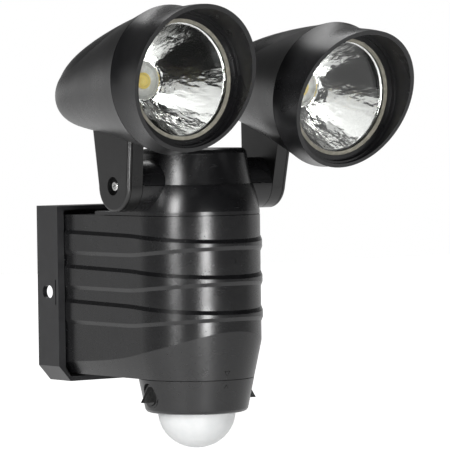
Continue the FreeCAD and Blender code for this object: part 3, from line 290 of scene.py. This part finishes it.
# -------------------------------------------------- sensor unit and controls
# The twist-on cup below the housing, with two recessed knobs on its sides and
# the boards, heat sensor and light cell behind the dome.
knob_black = moulded_black("knob_black", tone=(0.013, 0.013, 0.013), rough=0.2,
                           grain=0.0005, depth=0.00001)
sensor_can = metal("sensor_can", tone=(0.66, 0.66, 0.64), rough=0.25, brush=0.0003)
dress(body_black, "sensor_cap")
dress(knob_black, "mode_knob", "timer_knob")
dress(inner_black, "dome_ring", "mode_switch", "timer_control")
dress(seal_black, "cap_seal")
dress(circuit_board, "sensor_board")
dress(sensor_can, "heat_sensor")
dress(component_sleeve, "light_cell")


# --------------------------------------------------------------- sensor dome
# The milky polyethylene bowl that lets body heat through to the sensor,
# moulded thin, and clamped by a ring under the sensor cap's lip.
def dome_material():
    material, surface, place = new_material("dome_milk")
    haze = noise(material, place, 0.004, 3.0)
    colour = blend_colours(material, spread(material, haze, 0.0, 1.0), (0.84, 0.85, 0.85),
                           (0.79, 0.81, 0.81))
    wire(material, colour, (surface, "Base Color"), "Result")
    wire(material, spread(material, haze, 0.3, 0.4), (surface, "Roughness"))
    emboss(material, surface, [(haze, 0.00004)])
    surface.inputs["Subsurface Weight"].default_value = 0.6
    surface.inputs["Subsurface Radius"].default_value = (0.004, 0.004, 0.004)
    surface.inputs["Subsurface Scale"].default_value = 1.0
    surface.inputs["Transmission Weight"].default_value = 0.12
    surface.inputs["IOR"].default_value = 1.45
    return material


dome_milk = dome_material()
dress(dome_milk, "sensor_dome")


# ---------------------------------------------------- arms and their pivots
# Each arm is a hollow black shell with a cover plate, turning on a spigot in
# the collar. A cross-slot screw, washer and nut hold it, a ring seal keeps
# the wet out.
arm_black = moulded_black("arm_black", tone=(0.005, 0.005, 0.005), rough=0.3,
                          grain=0.0003, depth=0.00002)
for side in ("left_", "right_"):
    dress(arm_black, side + "arm_shell", side + "arm_cover")
    dress(screw_steel, side + "pivot_screw", side + "pivot_washer", side + "pivot_nut",
          side + "arm_screws")
    dress(seal_black, side + "pivot_seal")


# --------------------------------------------------- head shells and bezels
# A bullet-shaped shell behind, a bezel with a slanted hood in front. The two
# black ABS mouldings meet at a fine seam behind the lens.
head_black = moulded_black("head_black", tone=(0.005, 0.005, 0.0055), rough=0.29,
                           grain=0.00026, depth=0.00002)
for side in ("left_", "right_"):
    dress(head_black, side + "head_shell", side + "bezel")


# ------------------------------------------------------- lens and lens seal
# A clear polycarbonate disc, pressed forward against a cream silicone ring
# that seals it in the bezel.
def lens_material():
    material, surface, place = new_material("lens_clear")
    ripple = noise(material, place, 0.012, 2.0)
    wire(material, spread(material, ripple, 0.0, 0.02), (surface, "Roughness"))
    emboss(material, surface, [(ripple, 0.00001)])
    surface.inputs["Base Color"].default_value = (0.99, 1.0, 0.995, 1)
    surface.inputs["Transmission Weight"].default_value = 1.0
    surface.inputs["IOR"].default_value = 1.49
    return material


lens_clear = lens_material()
gasket_cream = rubber("gasket_cream", tone=(0.2, 0.19, 0.155), rough=0.5, grain=0.0003)
for side in ("left_", "right_"):
    dress(lens_clear, side + "lens")
    dress(gasket_cream, side + "lens_seal")


# ---------------------------------------------------------------- reflector
# A deep parabola moulded in polycarbonate and vacuum coated with aluminium,
# which flares in to a small neck round the emitter. Fine streaks from the
# mould's polishing run along it.
def turned(name, outline, middle, ahead, steps=160):
    """A ring turned round an axis from (radius, place ahead) corners."""
    mesh = bpy.data.meshes.new(name)
    rim = bmesh.new()
    side_way = Vector((1, 0, 0))
    up_way = ahead.cross(side_way)
    rows = []
    for radius, place in outline:
        row = []
        for step in range(steps):
            turn = 2 * math.pi * step / steps
            out = side_way * math.cos(turn) + up_way * math.sin(turn)
            row.append(rim.verts.new(middle + ahead * place + out * radius))
        rows.append(row)
    for first, second in zip(rows, rows[1:] + rows[:1]):
        for step in range(steps):
            after = (step + 1) % steps
            rim.faces.new((first[step], first[after], second[after], second[step]))
    bmesh.ops.recalc_face_normals(rim, faces=rim.faces)
    rim.to_mesh(mesh)
    rim.free()
    mesh.shade_smooth()
    made = bpy.data.objects.new(name, mesh)
    bpy.context.scene.collection.objects.link(made)
    return made


def mirror_material():
    material, surface, place = new_material("mirror_coat")
    ripple = noise(material, place, 0.005, 2.0, (1, 5, 1))
    streak = noise(material, place, 0.0016, 3.0, (1, 16, 1))
    haze = noise(material, place, 0.0015, 3.0)
    wire(material, spread(material, haze, 0.03, 0.09), (surface, "Roughness"))
    colour = blend_colours(material, spread(material, haze, 0.0, 1.0), (0.92, 0.92, 0.91),
                           (0.86, 0.86, 0.85))
    wire(material, colour, (surface, "Base Color"), "Result")
    emboss(material, surface, [(ripple, 0.0006), (streak, 0.00006)])
    surface.inputs["Metallic"].default_value = 1.0
    return material


mirror_coat = mirror_material()
mirror_mouth = (0.03105, -0.0012)      # radius, and place ahead of the lens's middle
mirror_throat = (0.0112, -0.0332)
mirror_neck = (0.0084, -0.0351)
mirror_skin = 0.001
mirror_steps = 32
head_elevations = {"left_": 0.2, "right_": -8.7}      # degrees, as photographed
for side in ("left_", "right_"):
    lens_low, lens_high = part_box(side + "lens")
    lens_middle = (Vector(lens_low) + Vector(lens_high)) / 2
    elevation = math.radians(head_elevations[side])
    beam = Vector((0, -math.cos(elevation), math.sin(elevation)))
    depth = mirror_mouth[1] - mirror_throat[1]
    bowl = (mirror_mouth[0] ** 2 - mirror_throat[0] ** 2) / depth
    inside = [mirror_neck]
    for step in range(mirror_steps + 1):
        radius = mirror_throat[0] + (mirror_mouth[0] - mirror_throat[0]) * step / mirror_steps
        inside.append((radius, mirror_throat[1] + (radius ** 2 - mirror_throat[0] ** 2) / bowl))
    outside = [(out + mirror_skin, place - mirror_skin * 0.3) for out, place in reversed(inside)]
    mirror = turned(side + "mirror", inside + outside, lens_middle, beam)
    mirror.data.materials.append(mirror_coat)
    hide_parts(side + "reflector")
    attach(mirror, side + "head")


# --------------------------------------------- emitter, its board, heat sink
# A yellow phosphor dome on a round white board, screwed to a finned
# aluminium sink behind the reflector.
def emitter_material():
    material, surface, place = new_material("emitter_yellow")
    powder = noise(material, place, 0.0004, 3.0)
    colour = blend_colours(material, spread(material, powder, 0.0, 1.0), (0.94, 0.72, 0.16),
                           (0.98, 0.8, 0.26))
    wire(material, colour, (surface, "Base Color"), "Result")
    wire(material, spread(material, powder, 0.25, 0.4), (surface, "Roughness"))
    emboss(material, surface, [(powder, 0.00002)])
    surface.inputs["Coat Weight"].default_value = 1.0
    surface.inputs["Coat Roughness"].default_value = 0.04
    return material


emitter_yellow = emitter_material()
board_white = rubber("board_white", tone=(0.7, 0.7, 0.67), rough=0.4, grain=0.0006)
sink_aluminium = metal("sink_aluminium", tone=(0.75, 0.75, 0.76), rough=0.38, brush=0.0006)
for side in ("left_", "right_"):
    dress(emitter_yellow, side + "emitter")
    dress(board_white, side + "emitter_board")
    dress(sink_aluminium, side + "heat_sink")


# -------------------------------------------------- floor, light and camera
# A pale floor, and a white backdrop that only the eye and polished faces
# see. Two soft lamps stand in front, one high and one low, and a wide one
# hangs above. Gloss sees a dark front, as in a tent with its mouth open.
floor_drop = 0.22
floor_half = 6.0
mesh = bpy.data.meshes.new("floor")
drawn = bmesh.new()
bmesh.ops.create_grid(drawn, x_segments=1, y_segments=1, size=floor_half)
drawn.to_mesh(mesh)
drawn.free()
floor = bpy.data.objects.new("floor", mesh)
floor.location = (0, 0, cad_low.z - floor_drop)
bpy.context.scene.collection.objects.link(floor)
pale, pale_surface, _ = new_material("pale_floor")
pale_surface.inputs["Base Color"].default_value = (0.8, 0.8, 0.8, 1)
pale_surface.inputs["Roughness"].default_value = 0.6
mesh.materials.append(pale)


def seen_directly(holder):
    """One where a ray comes from the eye, from gloss or through the lens."""
    tree = holder.node_tree
    ray = tree.nodes.new("ShaderNodeLightPath")
    eye = tree.nodes.new("ShaderNodeMath")
    eye.operation = "MAXIMUM"
    either = tree.nodes.new("ShaderNodeMath")
    either.operation = "MAXIMUM"
    tree.links.new(ray.outputs["Is Camera Ray"], eye.inputs[0])
    tree.links.new(ray.outputs["Is Glossy Ray"], eye.inputs[1])
    tree.links.new(eye.outputs[0], either.inputs[0])
    tree.links.new(ray.outputs["Is Transmission Ray"], either.inputs[1])
    return either


seen = seen_directly(pale)
glow = pale.node_tree.nodes.new("ShaderNodeEmission")
glow_gloss = 0.5
glow_eye = 1.0
glow_level = pale.node_tree.nodes.new("ShaderNodeMapRange")
glow_level.inputs["To Min"].default_value = glow_gloss
glow_level.inputs["To Max"].default_value = glow_eye
glow_path = pale.node_tree.nodes.new("ShaderNodeLightPath")
pale.node_tree.links.new(glow_path.outputs["Is Camera Ray"], glow_level.inputs["Value"])
pale.node_tree.links.new(glow_level.outputs[0], glow.inputs["Strength"])
both = pale.node_tree.nodes.new("ShaderNodeAddShader")
choose = pale.node_tree.nodes.new("ShaderNodeMixShader")
pale.node_tree.links.new(pale_surface.outputs[0], both.inputs[0])
pale.node_tree.links.new(glow.outputs[0], both.inputs[1])
pale.node_tree.links.new(seen.outputs[0], choose.inputs[0])
pale.node_tree.links.new(pale_surface.outputs[0], choose.inputs[1])
pale.node_tree.links.new(both.outputs[0], choose.inputs[2])
pale.node_tree.links.new(choose.outputs[0], pale.node_tree.nodes["Material Output"].inputs[0])

world = bpy.data.worlds.new("studio")
world.use_nodes = True
bpy.context.scene.world = world
sky = world.node_tree.nodes["Background"]
sky.inputs["Color"].default_value = (1, 1, 1, 1)
seen = seen_directly(world)
path = world.node_tree.nodes.new("ShaderNodeLightPath")
where = world.node_tree.nodes.new("ShaderNodeTexCoord")
split = world.node_tree.nodes.new("ShaderNodeSeparateXYZ")
world.node_tree.links.new(where.outputs["Generated"], split.inputs[0])


def world_ramp(value, low, high, to_low, to_high):
    made = world.node_tree.nodes.new("ShaderNodeMapRange")
    made.interpolation_type = "SMOOTHSTEP"
    made.inputs["From Min"].default_value = low
    made.inputs["From Max"].default_value = high
    made.inputs["To Min"].default_value = to_low
    made.inputs["To Max"].default_value = to_high
    world.node_tree.links.new(value, made.inputs["Value"])
    return made.outputs[0]


def world_math(operation, first, second):
    made = world.node_tree.nodes.new("ShaderNodeMath")
    made.operation = operation
    for place, value in enumerate((first, second)):
        if isinstance(value, (int, float)):
            made.inputs[place].default_value = value
        else:
            world.node_tree.links.new(value, made.inputs[place])
    return made.outputs[0]


ambient = 0.25
rightward = 0.6
leaning = world_math("MULTIPLY", split.outputs["X"], rightward)
leaning = world_math("ADD", split.outputs["Y"], leaning)
front_dark = world_ramp(leaning, 0.12, 0.5, 0.03, 0.8)
roof_dark = world_ramp(split.outputs["Z"], 0.0, 0.24, 1.0, 0.12)
below = world_ramp(split.outputs["Z"], -0.34, -0.16, 0.7, 0.0)
tent = world_math("MULTIPLY", front_dark, roof_dark)
tent = world_math("MAXIMUM", tent, below)
in_gloss = world_math("MULTIPLY", tent, path.outputs["Is Glossy Ray"])
through_lens = world_math("MULTIPLY", path.outputs["Is Transmission Ray"], tent)
unseen = world_math("SUBTRACT", 1.0, seen.outputs[0])
level = world_math("MULTIPLY", unseen, ambient)
level = world_math("ADD", level, in_gloss)
level = world_math("ADD", level, path.outputs["Is Camera Ray"])
level = world_math("ADD", level, through_lens)
level = world_math("MINIMUM", level, 1.0)
world.node_tree.links.new(level, sky.inputs["Strength"])


def soft_lamp(name, azimuth, height, distance, width, tall, power):
    """A softbox that faces the object's middle, seen from an azimuth."""
    data = bpy.data.lights.new(name, "AREA")
    data.shape = "RECTANGLE"
    data.size = width
    data.size_y = tall
    data.energy = power
    lamp = bpy.data.objects.new(name, data)
    turn = math.radians(azimuth)
    centre = (cad_low + cad_high) / 2
    lamp.location = (centre.x + math.sin(turn) * distance, centre.y - math.cos(turn) * distance,
                     centre.z + height)
    facing = centre - lamp.location
    lamp.rotation_euler = facing.to_track_quat("-Z", "Y").to_euler()
    bpy.context.scene.collection.objects.link(lamp)


soft_lamp("left_softbox", azimuth=-70.5, height=0.25, distance=1.1, width=0.26, tall=0.55,
          power=9.5)
soft_lamp("right_softbox", azimuth=-17.0, height=-0.16, distance=1.3, width=0.27, tall=0.4,
          power=9.5)
soft_lamp("top_softbox", azimuth=150.0, height=1.2, distance=0.7, width=1.0, tall=1.0, power=8.0)

# The photograph's camera: a long lens, a little left of and above the lamp.
camera_lens = 282.6
camera_azimuth = math.radians(-36.6411)
camera_elevation = math.radians(1.7732)
camera_roll = math.radians(0.7743)
camera_distance = 2.01087
camera_right = 0.01748
camera_up = -0.00616
camera_target = Vector((0, -0.09705, 0.046))
back = Vector((math.sin(camera_azimuth) * math.cos(camera_elevation),
               -math.cos(camera_azimuth) * math.cos(camera_elevation),
               math.sin(camera_elevation)))
right = Vector((math.cos(camera_azimuth), math.sin(camera_azimuth), 0))
up = back.cross(right)
across = right * math.cos(camera_roll) - up * math.sin(camera_roll)
upward = up * math.cos(camera_roll) + right * math.sin(camera_roll)
lens = bpy.data.cameras.new("camera")
lens.lens = camera_lens
lens.sensor_width = 36.0
camera = bpy.data.objects.new("camera", lens)
bpy.context.scene.collection.objects.link(camera)
camera.matrix_world = Matrix.Translation(
    camera_target + right * camera_right + up * camera_up + back * camera_distance
) @ Matrix((across, upward, back)).transposed().to_4x4()
bpy.context.scene.camera = camera
bpy.context.scene.view_settings.view_transform = "Standard"
